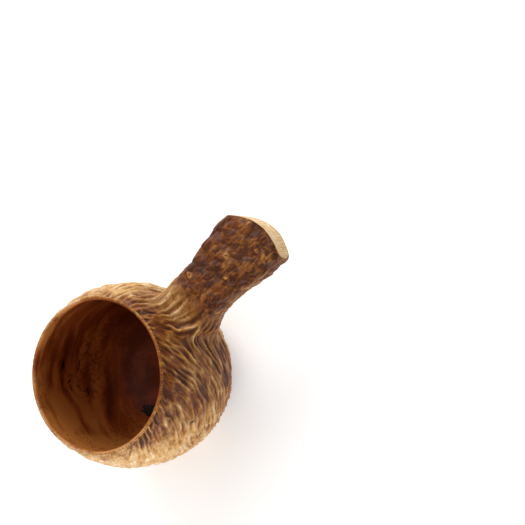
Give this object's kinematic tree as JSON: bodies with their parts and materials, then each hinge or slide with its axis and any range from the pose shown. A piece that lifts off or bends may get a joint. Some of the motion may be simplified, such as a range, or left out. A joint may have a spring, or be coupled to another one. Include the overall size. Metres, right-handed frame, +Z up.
{
  "type": "wooden drinking cup",
  "caption": "Drinking cup with a straight handle, carved from one piece of wood burl, ridged outside and smooth inside.",
  "frame": {"origin": "centre of the flat foot, on the surface the cup stands on", "axes": "+Z up along the bowl's axis, towards the mouth; +X out along the handle; +Y to the left seen from the handle's end"},
  "size_m": [0.1598, 0.095, 0.0765],
  "materials": {
    "burl_wood": "oiled birch burl: ridged and satin outside, smooth and dark inside"
  },
  "bodies": {
    "root": {"burl_cup": "burl_wood"}
  },
  "joints": []
}
